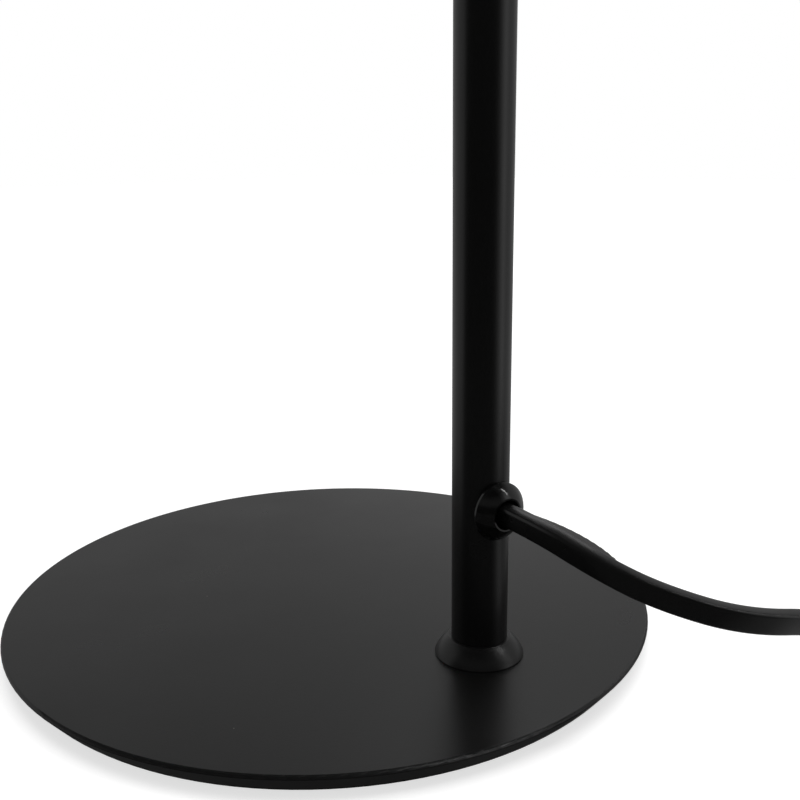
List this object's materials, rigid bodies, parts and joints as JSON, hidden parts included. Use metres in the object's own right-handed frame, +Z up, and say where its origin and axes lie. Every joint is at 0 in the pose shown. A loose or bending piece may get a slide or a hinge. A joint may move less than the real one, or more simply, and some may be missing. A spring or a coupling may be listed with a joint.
{
  "type": "led desk lamp",
  "caption": "Desk lamp with a round steel base, an off-centre post, a swivelling swing arm and a round tilting LED head with a push switch, with its mains cord coiled.",
  "frame": {"origin": "on the table, under the middle of the round base plate, at the underside of its pad", "axes": "+Z up; the post stands towards +X from the middle, and at rest the arm and head reach towards -X"},
  "size_m": [0.4702, 0.2771, 0.4184],
  "materials": {
    "powder_coat": "satin",
    "coated_aluminium": "satin",
    "pad_rubber": "matte",
    "zinc_steel": "satin",
    "black_steel": "satin",
    "spindle_brass": "satin",
    "bushing_plastic": "gloss",
    "nylon": "matte",
    "lead_sleeve": "matte",
    "cord_sheath": "satin",
    "plug_plastic": "satin",
    "pin_brass": "polished",
    "board_laminate": "satin",
    "led_package": "satin",
    "diffuser_opal": "satin",
    "driver_plastic": "matte",
    "button_plastic": "satin"
  },
  "bodies": {
    "root": {"base_plate": "powder_coat", "anti_slip_pad": "pad_rubber", "foot_screw": "zinc_steel", "foot_plug": "zinc_steel", "foot_collar": "powder_coat", "post_tube": "powder_coat", "cord_bushing": "bushing_plastic", "post_lead": "lead_sleeve", "post_spindle": "spindle_brass", "thrust_washer": "nylon", "swivel_washer": "zinc_steel", "spring_washer": "zinc_steel", "swivel_nut": "zinc_steel", "mains_cord": "cord_sheath", "cord_coil": "cord_sheath", "plug_cord": "cord_sheath", "plug_body": "plug_plastic", "plug_pins": "pin_brass", "pin_sleeves": "plug_plastic"},
    "swivel": {"swivel_hub": "coated_aluminium", "stop_screw": "black_steel", "hub_cap": "coated_aluminium", "arm_hinge_bolt": "black_steel", "arm_hinge_nut": "black_steel", "arm_friction_washers": "nylon"},
    "arm": {"arm_knuckle": "coated_aluminium", "arm_tube": "coated_aluminium", "tip_fork": "coated_aluminium", "arm_grub_screws": "black_steel", "arm_lead": "lead_sleeve", "head_hinge_bolt": "black_steel", "head_hinge_nut": "black_steel", "head_friction_washers": "nylon"},
    "head": {"head_neck": "coated_aluminium", "neck_screws": "black_steel", "lamp_housing": "coated_aluminium", "led_board": "board_laminate", "board_screws": "zinc_steel", "led_chips": "led_package", "diffuser": "diffuser_opal", "bezel_ring": "coated_aluminium", "driver_module": "driver_plastic", "switch_body": "driver_plastic", "head_lead": "lead_sleeve"},
    "button": {"switch_button": "button_plastic"}
  },
  "joints": [
    {"name": "swivel", "type": "hinge", "parent": "root", "child": "swivel", "pos_m": [0.063, 0, 0.39], "axis": [0, 0, 1], "range_deg": [-150, 150]},
    {"name": "arm_tilt", "type": "hinge", "parent": "swivel", "child": "arm", "pos_m": [0.039, 0, 0.399], "axis": [0, 1, 0], "range_deg": [-35, 80]},
    {"name": "head_tilt", "type": "hinge", "parent": "arm", "child": "head", "pos_m": [-0.111, 0, 0.399], "axis": [0, 1, 0], "range_deg": [-90, 60]},
    {"name": "switch_press", "type": "slide", "parent": "head", "child": "button", "axis": [0, 0, -1], "range_m": [0, 0.0015], "stiffness_N_per_m": 1500, "springref_m": -0.0005}
  ]
}
